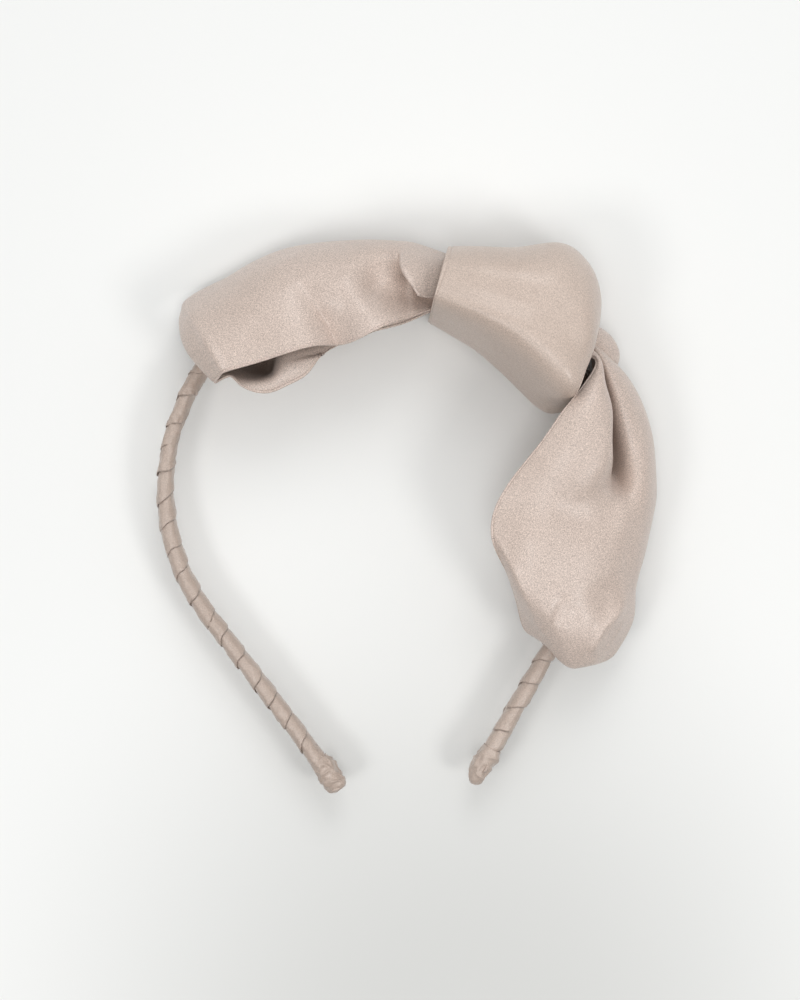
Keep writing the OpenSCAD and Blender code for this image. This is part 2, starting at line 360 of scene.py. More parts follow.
def satin(name, colour, shade, roughness=0.36, grain=1.0, streak=0.0):
    """Charmeuse satin: slow colour drift, a fine pebbled grain and a soft sheen."""
    m = bpy.data.materials.new(name)
    m.use_nodes = True
    t = m.node_tree
    t.nodes.clear()
    out = node(t, "ShaderNodeOutputMaterial")
    b = node(t, "ShaderNodeBsdfPrincipled")
    b.inputs["Roughness"].default_value = roughness
    b.inputs["Specular IOR Level"].default_value = 0.5
    b.inputs["Sheen Weight"].default_value = 0.18
    b.inputs["Sheen Roughness"].default_value = 0.45
    b.inputs["Sheen Tint"].default_value = (1.0, 0.95, 0.92, 1)
    t.links.new(b.outputs[0], out.inputs[0])
    where = node(t, "ShaderNodeTexCoord")

    def noise(scale, detail=2.0, rough=0.5):
        n = node(t, "ShaderNodeTexNoise", Scale=scale, Detail=detail, Roughness=rough)
        t.links.new(where.outputs["Object"], n.inputs["Vector"])
        return n.outputs["Fac"]

    def ramp(value, low, high, to_low, to_high):
        r = node(t, "ShaderNodeMapRange")
        r.inputs["From Min"].default_value, r.inputs["From Max"].default_value = low, high
        r.inputs["To Min"].default_value, r.inputs["To Max"].default_value = to_low, to_high
        t.links.new(value, r.inputs["Value"])
        return r.outputs["Result"]

    drift = ramp(noise(38.0, 3.0), 0.3, 0.7, 0.0, 1.0)
    mix = node(t, "ShaderNodeMix", data_type="RGBA")
    mix.inputs["A"].default_value = (*shade, 1)
    mix.inputs["B"].default_value = (*colour, 1)
    t.links.new(drift, mix.inputs["Factor"])
    weave = node(t, "ShaderNodeMapping")
    weave.inputs["Scale"].default_value = THREADS
    t.links.new(where.outputs["UV"], weave.inputs["Vector"])
    floats = node(t, "ShaderNodeTexNoise", Scale=1.0, Detail=2.0, Roughness=0.6)
    t.links.new(weave.outputs[0], floats.inputs["Vector"])
    pebble = node(t, "ShaderNodeMath", operation="MULTIPLY_ADD")
    pebble.inputs[1].default_value = 0.5
    half = node(t, "ShaderNodeMath", operation="MULTIPLY")
    half.inputs[1].default_value = 0.5
    t.links.new(noise(3400.0, 1.0, 0.6), half.inputs[0])
    t.links.new(floats.outputs["Fac"], pebble.inputs[0])
    t.links.new(half.outputs[0], pebble.inputs[2])
    speck = ramp(pebble.outputs[0], 0.36, 0.64, 1 - 0.28 * grain, 1 + 0.28 * grain)
    bright = node(t, "ShaderNodeVectorMath", operation="SCALE")
    t.links.new(mix.outputs["Result"], bright.inputs[0])
    t.links.new(speck, bright.inputs["Scale"])
    t.links.new(bright.outputs[0], b.inputs["Base Color"])

    fine = node(t, "ShaderNodeBump", Strength=0.4 * grain, Distance=0.00005)
    t.links.new(pebble.outputs[0], fine.inputs["Height"])
    soft = node(t, "ShaderNodeBump", Strength=0.25, Distance=0.0006)
    t.links.new(noise(160.0, 2.0), soft.inputs["Height"])
    t.links.new(soft.outputs[0], fine.inputs["Normal"])
    last = fine
    if streak:
        lines = node(t, "ShaderNodeTexWave", Scale=streak, Distortion=3.0, Detail=2.0)
        t.links.new(where.outputs["UV"], lines.inputs["Vector"])
        lined = node(t, "ShaderNodeBump", Strength=0.2, Distance=0.0002)
        t.links.new(lines.outputs["Fac"], lined.inputs["Height"])
        t.links.new(fine.outputs[0], lined.inputs["Normal"])
        last = lined
    t.links.new(last.outputs[0], b.inputs["Normal"])
    shine = ramp(noise(900.0, 1.0), 0.3, 0.7, roughness - 0.05, roughness + 0.07)
    t.links.new(shine, b.inputs["Roughness"])
    return m


def plain(name, colour, roughness, grain_scale=600.0, bump=0.2):
    m = bpy.data.materials.new(name)
    m.use_nodes = True
    t = m.node_tree
    b = t.nodes["Principled BSDF"]
    b.inputs["Roughness"].default_value = roughness
    where = node(t, "ShaderNodeTexCoord")
    n = node(t, "ShaderNodeTexNoise", Scale=grain_scale, Detail=3.0)
    t.links.new(where.outputs["Object"], n.inputs["Vector"])
    mix = node(t, "ShaderNodeMix", data_type="RGBA")
    mix.inputs["A"].default_value = (*[c * 0.86 for c in colour], 1)
    mix.inputs["B"].default_value = (*colour, 1)
    t.links.new(n.outputs["Fac"], mix.inputs["Factor"])
    t.links.new(mix.outputs["Result"], b.inputs["Base Color"])
    bp = node(t, "ShaderNodeBump", Strength=bump, Distance=0.0002)
    t.links.new(n.outputs["Fac"], bp.inputs["Height"])
    t.links.new(bp.outputs[0], b.inputs["Normal"])
    return m


SATIN = satin("satin_rose", (0.575, 0.482, 0.430), (0.545, 0.450, 0.396), grain=1.2)
SATIN_KNOT = satin("satin_knot", (0.562, 0.468, 0.410), (0.532, 0.438, 0.380), roughness=0.35,
                   grain=0.8)
RIBBON = satin("satin_ribbon", (0.485, 0.402, 0.350), (0.440, 0.357, 0.306), roughness=0.34,
               grain=0.6)
THREAD = plain("thread_rose", (0.52, 0.41, 0.36), 0.6, 2500.0, 0.5)
CORE = plain("core_strip", (0.62, 0.60, 0.57), 0.45, 900.0)

# ------------------------------------------------------------------ the hoop's line


def hoop(s, side):
    """Point, direction and outward normal in plan at a distance from the crown's top.
    side is 1 on the right and -1 on the left."""
    s = np.asarray(s, float)
    a1 = np.minimum(s, FLEX_S) / CROWN_R
    a2 = CROWN_HALF + (np.clip(s, FLEX_S, ARM_S) - FLEX_S) / SHOULDER_R
    a = np.where(s <= FLEX_S, a1, a2)
    off = (CROWN_R - SHOULDER_R) * np.array([math.sin(CROWN_HALF), math.cos(CROWN_HALF)])
    r = np.where(s <= FLEX_S, CROWN_R, SHOULDER_R)
    x = np.sin(a) * r + np.where(s <= FLEX_S, 0, off[0])
    y = np.cos(a) * r + np.where(s <= FLEX_S, 0, off[1])
    more = np.maximum(s - ARM_S, 0)
    x, y = x + np.cos(a) * more, y - np.sin(a) * more
    point = np.stack([side * x, y, np.full_like(x, HOOP_Z)], axis=-1)
    ahead = np.stack([side * np.cos(a), -np.sin(a), np.zeros_like(x)], axis=-1)
    out = np.stack([side * np.sin(a), np.cos(a), np.zeros_like(x)], axis=-1)
    return point, ahead, out


def ring(phi):
    """Offsets outward and up of the wrapped section at an angle."""
    c, s = np.cos(phi), np.sin(phi)
    x = np.sign(c) * np.abs(c) ** (2 / WRAP_POWER)
    z = np.sign(s) * np.abs(s) ** (2 / WRAP_POWER)
    return x * WRAP_HALF_T, z * WRAP_HALF_W


SECTION = ring(np.linspace(0, 2 * math.pi, 721))
WRAP_GIRTH = float(np.sum(np.hypot(*(np.diff(c) for c in SECTION))))


def ribbon(side, start, turns, crumple, seed_base):
    """A run of the helical wrap: turns of ribbon from a turn number, each lapping over the
    one nearer the tip."""
    count = int(turns * STEPS_TURN)
    k = start + np.arange(count + 1) / STEPS_TURN
    phi = -math.pi / 2 + 2 * math.pi * k * side
    w = np.linspace(0, 1, STEPS_W + 1)
    turn = k[:, None] + 0 * w[None, :]
    # Real ribbon wanders: each turn has its own small shift, and the lapped edge waves
    wander = 0.55 * np.sin(1.7 * k + seed_base) + 0.4 * np.sin(3.9 * k + 2.1 * seed_base)
    edge = 0.22 * np.sin(11.3 * k + seed_base) + 0.16 * np.sin(23.7 * k)
    s = PITCH * k[:, None] + RIBBON_W * (w[None, :] - 0.5)
    s = s + wander[:, None] + edge[:, None] * w ** 3
    s = np.clip(s, 0.0 if start >= 0 else -1e9, TIP_S - 1.2)
    lap = np.clip((w - 0.28) / 0.72, 0, 1)
    lift = -0.12 + RIBBON_STEP * (lap ** 0.8)[None, :] + 0 * turn
    near_bow = crumple(s)
    tilt = smooth_noise(np.stack([turn * 22, s, 0 * s], axis=-1), 9.0, seed_base + 1)
    fold = np.stack([turn * 26, s * 1.6, 0 * s], axis=-1)
    fold = np.abs(smooth_noise(fold, 5.0, seed_base + 2))
    lift = lift + near_bow * (0.24 * tilt - 0.34 * (1 - np.clip(fold * 3, 0, 1)) * lap[None, :])
    fine = smooth_noise(np.stack([turn * 22, s, 0 * s], axis=-1), 2.4, seed_base + 3)
    lift = lift + 0.08 * fine
    point, _, out = hoop(s, side)

    def layer(extra):
        x, z = ring(phi[:, None] + 0 * w[None, :])
        nx, nz = ring_normal(phi)
        x = x + nx[:, None] * (lift + extra)
        z = z + nz[:, None] * (lift + extra)
        return point + out * x[..., None] + UP * z[..., None]

    # The exposed edge is a rounded fold; both skins meet there and at the hidden edge
    dist_edge = (1 - w) * RIBBON_W
    dist_hidden = w * RIBBON_W
    half = RIBBON_PLY / 2 * np.sqrt(np.clip(
        1 - (1 - np.clip(np.minimum(dist_edge, dist_hidden) / (RIBBON_PLY / 2), 0, 1)) ** 2, 0, 1))
    return layer(half[None, :]), layer(-half[None, :])


def ring_normal(phi):
    c, s = np.cos(phi), np.sin(phi)
    x = np.sign(c) * np.abs(c) ** (2 - 2 / WRAP_POWER) / WRAP_HALF_T
    z = np.sign(s) * np.abs(s) ** (2 - 2 / WRAP_POWER) / WRAP_HALF_W
    length = np.hypot(x, z)
    return x / length, z / length


def ribbon_piece(name, side, start, stop, crumple, seed_base):
    top, low = ribbon(side, start, stop - start, crumple, seed_base)
    nu, nv = top.shape[:2]
    # The left side winds the other way round
    obj = new_mesh(name, both_skins(top, low, 3), shell_faces(nu, nv, turned=side < 0))
    fix_normals(obj)
    u = np.repeat(np.arange(nu) / STEPS_TURN * WRAP_GIRTH, nv)
    v = np.tile(np.linspace(0, RIBBON_W, nv), nu)
    uv = np.stack([u, v], axis=1).reshape(nu, nv, 2)
    set_uv(obj, both_skins(uv, uv, 2) * MM)
    obj.data.materials.append(RIBBON)
    return obj


def calm(s):
    """Crumpling is strongest close to the bow and near the tip."""
    return 0.6 + 1.1 * np.exp(-((s - FLEX_S) / 22) ** 2) + 0.8 * np.exp(-((s - TIP_S) / 18) ** 2)


def turn_at(s):
    """Whole number of turns nearest to a distance, so that cuts lie underneath."""
    return round(s / PITCH)


def build_wrap():
    first, last = turn_at(FLEX_S - BEND_REACH - BEND_CUT), turn_at(FLEX_S + BEND_REACH + BEND_CUT)
    end = (TIP_S - TIP_LEN - RIBBON_PAST) / PITCH
    crown = ribbon_piece("wrap_crown_ribbon", 1, -first, first, calm_even, 3)
    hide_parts("wrap_crown")
    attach(crown, "crown")
    for side, word in ((-1, "left"), (1, "right")):
        bend = ribbon_piece(f"wrap_{word}_bend", side, first, last, calm, 5 + side)
        arm = ribbon_piece(f"wrap_{word}_ribbon", side, last, end, calm, 5 + side)
        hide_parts(f"wrap_{word}")
        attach(arm, f"{word}_arm")
        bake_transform(bend)


def calm_even(s):
    return calm(np.abs(s))


# ------------------------------------------------------------------ the sash

# Each station is a row of points across the sash, from its lower hem, near the surface it
# lies on, over its shoulder to its upper hem. Left loop: from inside the knot along the
# front to the creased end, round it, and back along the head side into the knot.
LEFT_LOOP = [
    [(27.5, 62, 9), (27.2, 62.6, 14), (26.8, 62, 19), (26.2, 60, 24), (25.6, 57.5, 27),
     (25, 55, 28.5), (24.6, 53, 28)],
    [(21.5, 65, 3), (20.9, 66, 9), (20.2, 65, 17), (19.2, 62.6, 23.5), (17.8, 59.4, 27.5),
     (16.5, 56, 29.5), (15.6, 52.6, 30)],
    [(12.5, 68, 1.6), (12, 69.4, 11), (10.6, 67.6, 21), (8.4, 64.6, 28), (7.6, 61.4, 31.6),
     (9.4, 57.4, 33), (12.6, 53.4, 32.6)],
    [(7.5, 69, 1.4), (7.3, 70.2, 11.5), (6.8, 68, 21.6), (7.4, 64.2, 24.6), (10.2, 59.6, 23.6),
     (14.6, 55, 22), (18, 51.6, 24)],
    [(-1, 70.3, 1.4), (-0.9, 71.4, 12), (-0.6, 68.5, 22.6), (-0.2, 63.5, 28), (0.6, 57.5, 28.6),
     (2.0, 50.8, 32), (3.2, 45.9, 34.6)],
    [(-13.6, 70.4, 1.4), (-13.5, 71.5, 12), (-12.9, 67.5, 24), (-11.9, 61.2, 30.5),
     (-10.8, 54.5, 33), (-9.6, 48, 33.4), (-8.2, 41.6, 35.6)],
    [(-26.6, 68.6, 1.4), (-26.3, 69.8, 12), (-24.8, 65.4, 24), (-23, 59.8, 30.5), (-21, 53.6, 33.6),
     (-19, 47, 35), (-17, 41.3, 36)],
    [(-41, 62.6, 1.8), (-40.6, 64, 11), (-38.6, 60, 22), (-36.5, 55, 28.5), (-34.5, 50, 32),
     (-32.4, 44, 34), (-30.4, 38.4, 35)],
    [(-53.8, 57.6, 5), (-53.8, 57.4, 10), (-51.6, 53.4, 21), (-49, 49, 27.5), (-46.8, 44.7, 31.2),
     (-44.6, 40.3, 33.2), (-42.2, 35.8, 33.8)],
    [(-54.6, 55.8, 6), (-54.7, 55.4, 11), (-53, 52, 20), (-50.6, 48.2, 26.2),
     (-48.4, 43.9, 29.8), (-46.1, 39.5, 31.8), (-43.4, 35.2, 32.4)],
    [(-54.7, 51.6, 9), (-55, 50.4, 12.6), (-54.7, 47.4, 17), (-53.9, 44.9, 20.6),
     (-51.7, 41, 23.6), (-48.8, 37.2, 26), (-45.2, 33.4, 28)],
    [(-47.6, 43.6, 16), (-46.8, 42, 17.4), (-45.8, 40.4, 19.2), (-44.8, 38.8, 21),
     (-43.8, 37.4, 23), (-42.6, 36.2, 25), (-41.2, 35, 27.4)],
    [(-40.6, 43.4, 4), (-40.3, 41.4, 8), (-40, 39.6, 13), (-39.6, 37.9, 18), (-39.2, 36.1, 22.4),
     (-38.8, 34.2, 26.4), (-38.3, 32.1, 28.2)],
    [(-33.4, 43.6, 1.2), (-33.2, 39.2, 4), (-33.4, 36.4, 10), (-33.6, 35, 18),
     (-33.7, 34.1, 25), (-33.5, 32.4, 28.2), (-33.2, 29.8, 28)],
    [(-29.8, 46.5, 1.2), (-29.8, 41, 4), (-29.9, 37.4, 11), (-30, 35.8, 19.5), (-30, 34.6, 26.4),
     (-29.8, 32.6, 28.9), (-29.4, 30, 28.2)],
    [(-25.5, 50.5, 1.2), (-26, 47.6, 8), (-26.6, 44.4, 17), (-26.9, 40.8, 25.4), (-26.5, 37, 28.6),
     (-26, 34.2, 29.2), (-25.4, 31.5, 28.4)],
    [(-20.4, 54.8, 1.4), (-20.6, 51.4, 9), (-20.8, 47.4, 18), (-20.8, 43.4, 25), (-20.6, 39.8, 28),
     (-20.4, 36.8, 28.8), (-20, 34.2, 28.4)],
    [(-13, 58.5, 1.4), (-13.2, 56, 8), (-13.3, 53, 15.4), (-13.4, 49.5, 21.2), (-13.6, 46, 24.8),
     (-13.8, 43, 26.8), (-14, 40.4, 27.6)],
    [(-0.4, 59.6, 1.4), (-0.4, 58, 6), (-0.4, 56, 12), (-0.4, 53.3, 17.6), (-0.2, 50.4, 21.4),
     (0, 47.8, 23.2), (0.4, 45.2, 24)],
    [(8, 59.2, 1.8), (8, 57.8, 6), (8, 56, 11.4), (8, 53.8, 16.8), (8.1, 51.2, 20.6),
     (8.2, 49, 22.8), (8.4, 46.9, 23.6)],
    [(17, 58.6, 3), (16.6, 57.5, 7), (16.4, 56.2, 11), (16.2, 54.6, 15.4), (16, 52.8, 18.8),
     (15.9, 51.2, 21), (15.7, 49.6, 22.2)],
    [(27.6, 57.8, 7), (27.2, 56.6, 10), (26.8, 55.6, 13), (26.4, 54.4, 16), (26, 53.3, 19),
     (25.6, 52.2, 21.4), (25.2, 51.2, 23)],
]

# Right loop: from inside the knot along the front to the gathered end, under it and back
RIGHT_LOOP = [
    [(58, 40, 11), (58.4, 40.4, 15), (58, 40.4, 19), (57, 40, 22.5), (56.5, 39.7, 23.8),
     (56, 39.4, 25), (55, 38.6, 27.4), (54, 37.6, 29), (52.8, 36.4, 29.4), (51.6, 35, 28.4)],
    [(63, 32.6, 6), (64, 33.4, 11), (63.2, 34, 18), (60.9, 34.2, 21.4), (59.8, 33.6, 16),
     (59, 33, 19.4), (60, 33.4, 26.4), (60, 33.4, 29), (59.6, 33.2, 29.2),
     (58.9, 33, 28.4)],
    [(67.9, 25.6, 2.4), (69.3, 26.8, 9), (67.6, 27.8, 19), (62.8, 28, 23), (60.9, 27.4, 13),
     (59.2, 26.8, 17), (61.1, 26.6, 28.6), (60, 26.4, 32.6), (57.8, 26.4, 33.2),
     (55.1, 26.4, 32)],
    [(71.4, 18, 1.5), (72.9, 19.3, 10), (70, 20.3, 21.4), (63.4, 20.4, 22.6), (61.2, 20.2, 4),
     (59.8, 20, 13), (62.4, 19.3, 28.4), (60.4, 19.3, 34.4), (54.8, 19.2, 36), (48.6, 19.2, 34)],
    [(73.6, 9.5, 1.4), (75, 10.3, 10), (71.2, 11, 21.8), (64.6, 11, 20), (62.2, 10.6, 1.6),
     (58.6, 10.6, 8), (61.5, 11, 28.4), (59.8, 11, 34.8), (51.4, 11, 36.6), (42.4, 11.4, 34)],
    [(74.4, 0, 1.4), (75.2, 0.7, 10), (72, 1.6, 22.4), (66.4, 1.6, 22.4), (63, 1.6, 15),
     (61.2, 1.8, 19.6), (61.2, 2, 28.4), (57.8, 2, 34), (46.4, 2.3, 35.8), (34.6, 2.9, 33)],
    [(73.6, -7.5, 1.4), (74.5, -7.2, 10), (71.4, -6.8, 21.6), (67.4, -6.6, 25),
     (64.4, -6.6, 26.2), (61.6, -6.6, 28), (57.5, -6.6, 31), (50, -6.6, 33.6), (40, -6.5, 34.4),
     (28.3, -6.8, 32)],
    [(71.2, -15.5, 1.4), (72.3, -15.2, 9.5), (69.9, -15, 20.5), (65.6, -15, 26), (63, -15, 28.2),
     (60.5, -15, 29.8), (54, -15, 32.6), (46, -15, 34), (36.5, -15, 34.4), (27.7, -15.6, 31.2)],
    [(68.6, -23.5, 1.6), (69.9, -23.2, 9), (68.2, -23, 19), (64.4, -23, 24.8), (61.4, -23, 27.8),
     (58.2, -23, 29.8), (51.6, -23, 32.4), (43.4, -23, 33.8), (34.2, -23, 33.8), (31, -22.8, 28)],
    [(66.2, -31.5, 3), (67.4, -31.2, 9), (66.2, -31, 17), (63.2, -31.2, 23.4), (60.4, -31.3, 27),
     (57.2, -31.4, 29), (51.2, -31.4, 31.4), (44.5, -31.3, 32.6), (36.6, -31, 32.2),
     (33.2, -30.4, 23.6)],
    [(65, -39, 6), (66.3, -38.9, 10.6), (64.8, -39.2, 16), (62.2, -38.8, 22.6),
     (59.4, -39, 26.4), (56.4, -39.4, 28), (52, -39.6, 29.8), (47, -39.2, 30.8),
     (40.8, -38, 30.2), (34.4, -36.8, 18)],
    [(60.5, -46.5, 10), (61.8, -47, 12.6), (60.2, -47.4, 16), (57.8, -47.2, 20),
     (55.4, -46.6, 24.4), (53, -46.4, 26), (50.2, -46.6, 26.8), (47, -46.2, 27.2),
     (43.4, -44.6, 26.2), (36.6, -41.2, 17)],
    [(56.8, -48.6, 14), (57.4, -49.4, 15), (56.2, -50.2, 16.6), (54.2, -50.7, 18.2),
     (52.8, -50.8, 19.6), (51.4, -50.9, 20.6), (49.2, -51.1, 21.2), (46.8, -50.8, 21.4),
     (43.4, -47.4, 20.8), (40.8, -42.4, 18)],
    [(49.5, -43.6, 16.4), (49, -43.8, 17), (48, -44.2, 17.8), (47, -44.3, 18.6),
     (46.5, -44.3, 19), (46, -44.2, 19.3), (44.8, -43.9, 20), (43.6, -43.3, 20.2),
     (42.2, -42, 19.8), (40.4, -39.8, 18)],
    [(47, -31.6, 2), (45.5, -32.3, 5), (44.2, -32.9, 9), (42.9, -33.3, 13), (42.3, -33.5, 14.8),
     (41.7, -33.6, 16.5), (40.5, -33.8, 19), (39.3, -33.8, 20.6), (38.2, -33.6, 21.2),
     (37.1, -33.2, 21)],
    [(54.5, -19, 1.5), (52.5, -19, 4.5), (50, -19.2, 9), (47.5, -19.3, 13.5),
     (46.2, -19.3, 15.4), (45, -19.3, 17.2), (42.3, -19.2, 20), (39.6, -19, 21.6),
     (36.8, -18.6, 22.2), (34, -18, 21.8)],
    [(57.5, -4, 1.5), (55, -4, 4.5), (52, -4.2, 9), (49, -4.4, 13.5), (47.5, -4.4, 15.4),
     (46, -4.4, 17.2), (43.2, -4.4, 20), (40.4, -4.2, 21.6), (37.8, -4, 22.2), (35.2, -3.8, 21.8)],
    [(57.5, 9.5, 1.5), (55.5, 9.3, 4.5), (53.4, 9.2, 9), (51.4, 9.2, 13.5), (50.6, 9.2, 15.4),
     (49.8, 9.2, 17), (48.4, 9.4, 19.2), (47.2, 9.8, 20.6), (46.2, 10.2, 21.2),
     (45.2, 10.6, 20.8)],
    [(58, 21, 3), (56.5, 20.5, 6), (55.5, 20.2, 9.5), (54.8, 20.2, 13), (54.5, 20.3, 14.6),
     (54.2, 20.4, 16), (53.8, 20.9, 18), (53.4, 21.6, 19.2), (53, 22.4, 19.6), (52.6, 23.2, 19)],
    [(59, 32, 7), (58, 31.6, 9), (57, 31.4, 11), (56.2, 31.2, 13), (55.8, 31.2, 14),
     (55.4, 31.2, 15), (54.8, 31.2, 16.6), (54.2, 31.4, 18), (53.6, 31.6, 19), (53, 32, 19.4)],
]

# Rings of the knot band, from its left lip to its right lip: the point nearest the head,
# the point furthest from it, and the heights of the fold ridge and of the top
KNOT_RINGS = [
    [(14.4, 48.2), (20.9, 67.2), 36.0, 33.5],
    [(20.6, 44.0), (30.2, 66.6), 38.5, 36.5],
    [(27.6, 38.9), (40.4, 65.6), 40.5, 38.5],
    [(34.8, 31.9), (51.2, 66.0), 41.4, 39.0],
    [(41.2, 24.8), (59.0, 60.6), 41.2, 38.5],
    [(46.8, 20.4), (61.8, 49.6), 39.6, 37.0],
    [(51.4, 20.8), (60.0, 39.6), 37.0, 33.5],
]
# Round a ring: how far across it from the head side, and the height as shares of the
# ridge's and of the top's heights, with a part in mm
KNOT_ROUND = [
    (0.50, 0.0, 0.0, 0.8), (0.84, 0.0, 0.0, 2.6), (1.00, 0.0, 0.36, 2.0), (0.92, 0.0, 0.78, 1.0),
    (0.70, 0.0, 1.00, 0.0), (0.49, 0.4, 0.6, 0.0), (0.37, 0.85, 0.15, 0.0), (0.275, 1.0, 0.0, 0.0),
    (0.19, 0.955, 0.0, 0.0), (0.11, 0.80, 0.0, 0.0), (0.03, 0.46, 0.0, 0.0),
    (0.0, 0.20, 0.0, 0.0), (0.06, 0.05, 0.0, 1.0), (0.24, 0.0, 0.0, 1.0),
]


def wrinkled(grid, amount, size, seed):
    """The grid with soft undulations along its normals."""
    return grid + normals(grid) * (amount * smooth_noise(grid, size, seed))[..., None]


def clear_of_floor(grid, low=FLOOR_GAP):
    grid[..., 2] = np.maximum(grid[..., 2], low)
    return grid


def left_loop_grid():
    grid = net_grid(LEFT_LOOP, 260, 200)
    grid = resample_rows(even_columns(grid, CELL), CELL, RIM)
    front = np.clip((grid[..., 2] - 14) / 8, 0, 1)
    z = crease(grid, [(-24, 66), (-20.5, 58), (-17, 51)], -1.2, 5.4, 1.4, fade=(0.4, 0.5))
    z += crease(grid, [(-20.5, 60), (-16.6, 53), (-13.4, 47), (-11.8, 42.5), (-11.4, 40)],
                -6.0, 4.4, 1.2, fade=(1.0, 0.0))
    z += crease(grid, [(-7, 62), (-5.5, 55), (-4, 50)], 0.9, 3.6, fade=(0.4, 0.4))
    z += crease(grid, [(4, 66), (-0.4, 60.5), (0.5, 56), (4.5, 54), (10, 53.4)], -2.2, 4.0,
                fade=(0.5, 0.1))
    z += crease(grid, [(-53.4, 57), (-49.2, 49.4), (-45.6, 42.6), (-42.4, 36)], 0.8, 1.0, 1.6)
    grid[..., 2] += z * front
    return clear_of_floor(wrinkled(grid, 0.16, 17, 31))


def right_loop_grid():
    grid = net_grid(RIGHT_LOOP, 280, 230)
    grid = resample_rows(even_columns(grid, CELL), CELL, RIM)
    front = np.clip((grid[..., 2] - 21.5) / 4, 0, 1)
    z = crease(grid, [(28.6, -13), (33.4, -25), (38.6, -38), (43.4, -45.4)], 0.9, 1.1, 1.6)
    z += crease(grid, [(66, -33), (61.4, -37), (56.8, -40.6), (52.6, -48)], 1.6, 1.5, 1.6)
    z += crease(grid, [(67, -37), (62, -42), (57, -49)], -1.6, 2.2)
    z += crease(grid, [(39, -43.5), (43, -38), (46.5, -30)], -0.9, 1.5, fade=(0.1, 0.6))
    z += crease(grid, [(44, -9), (54, -12), (63, -10)], -1.2, 5.0, fade=(0.5, 0.3))
    z += crease(grid, [(56, -27), (60, -36)], -0.9, 5.0, fade=(0.5, 0.5))
    grid[..., 2] += z * front
    return clear_of_floor(wrinkled(grid, 0.18, 19, 47))


def knot_grid():
    rings = []
    for inner, outer, ridge, top in KNOT_RINGS:
        inner, outer = np.array(inner), np.array(outer)
        ring_now = []
        for t, share_ridge, share_top, more in KNOT_ROUND:
            xy = inner + (outer - inner) * t
            ring_now.append((*xy, share_ridge * ridge + share_top * top + more))
        rings.append(ring_now)
    net = np.array(rings).transpose(1, 0, 2)
    pad = 4
    wide = np.concatenate([net[-pad:], net, net[:pad + 1]])
    along = through(wide.transpose(1, 0, 2), 160).transpose(1, 0, 2)
    knots = spaced(along)
    t = np.linspace(knots[pad], knots[pad + len(net)], KNOT_STEPS)
    grid = spline(along, t, knots)
    grid = resample_rows(grid, CELL, RIM)
    grid[-1] = grid[0]
    up = np.clip((grid[..., 2] - 12) / 10, 0, 1)
    z = crease(grid, [(46, 69), (47, 62), (44, 54)], -0.8, 3.0, fade=(0.05, 0.7))
    z += crease(grid, [(58, 64), (55, 56), (55, 46)], -0.5, 3.0, fade=(0.05, 0.7))
    grid[..., 2] += z * up
    wide = np.concatenate([grid[-4:-1], grid, grid[1:4]])
    wide = wide + normals(wide) * (0.12 * smooth_noise(wide, 16, 61))[..., None]
    grid = wide[3:-3]
    grid[-1] = grid[0]
    return clear_of_floor(grid, KNOT_HALF + 0.05)


def build_sash():
    left = cloth("left_loop_satin", left_loop_grid())
    left.data.materials.append(SATIN)
    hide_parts("left_loop_front", "left_loop_end", "left_loop_back")
    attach(left, "crown")

    right = cloth("right_loop_satin", right_loop_grid())
    right.data.materials.append(SATIN)
    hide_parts("right_loop_front", "right_loop_end", "right_loop_back")
    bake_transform(right)

    grid = knot_grid()
    turn = np.linspace(0, 1, len(grid))
    # The turned hem is widest on the outer side of the left lip and runs out at the ridge
    over = np.clip(1 - np.abs(turn - 0.30) / 0.24, 0, 1)
    knot = cloth("knot_satin", grid, KNOT_HALF, True, (0.5 + 1.0 * over)[:, None])
    knot.data.materials.append(SATIN_KNOT)
    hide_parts("knot_band")
    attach(knot, "crown")
    return grid


# A pleat of the sash that shows behind the knot's right lip
LIP_PLEAT = [
    [(57.5, 42, 4), (58.5, 43.5, 10), (58, 44, 17), (56, 43, 22), (53, 41, 25)],
    [(62, 40, 3.4), (63.4, 41.6, 9.5), (62.4, 41.4, 15.6), (60.2, 40, 20), (57.6, 38, 22)],
    [(64.6, 37, 3), (66.6, 37.6, 8.6), (65.4, 37.4, 13.6), (62.6, 36.4, 17.4), (59.8, 35, 19)],
    [(65.2, 32.6, 3), (66.9, 33.2, 7.6), (66, 33, 12), (63.4, 32.4, 15.6), (60.6, 31.4, 17)],
    [(62.4, 27.6, 3.4), (63.6, 28, 7), (63, 28, 11), (61.4, 27.8, 14), (59.6, 27.2, 15.4)],
]

# The gathered middle of the sash inside the knot: centre and half sizes along it
BUNDLE = [
    [(19.5, 58.2, 22), 2.2, 6.0], [(26.5, 55.2, 25), 4.6, 8.2], [(34, 51.4, 25.8), 5.6, 9.2],
    [(41.5, 46.6, 26), 6.4, 9.6], [(48, 40.6, 25.6), 6.4, 9.0], [(53.2, 33.4, 23), 3.4, 6.4],
]
PLEATS = 9


def tube(name, path, radius, sides=10):
    """A closed thread of that radius along a path."""
    path = np.array(path, float)
    ahead = np.gradient(path, axis=0)
    ahead /= np.linalg.norm(ahead, axis=1, keepdims=True)
    side = np.cross(ahead, [0.13, 0.27, 0.95])
    side /= np.linalg.norm(side, axis=1, keepdims=True)
    up = np.cross(side, ahead)
    a = np.linspace(0, 2 * math.pi, sides, endpoint=False)
    size = np.full(len(path), radius)
    size[0] = size[-1] = radius * 0.35
    ring_now = (side[:, None] * np.cos(a)[None, :, None] + up[:, None] * np.sin(a)[None, :, None])
    verts = (path[:, None] + ring_now * size[:, None, None]).reshape(-1, 3)
    faces = tube_walls(len(path), sides)
    faces += [list(range(sides))[::-1], [len(verts) - sides + k for k in range(sides)]]
    obj = new_mesh(name, verts, faces)
    fix_normals(obj)
    obj.data.materials.append(THREAD)
    return obj


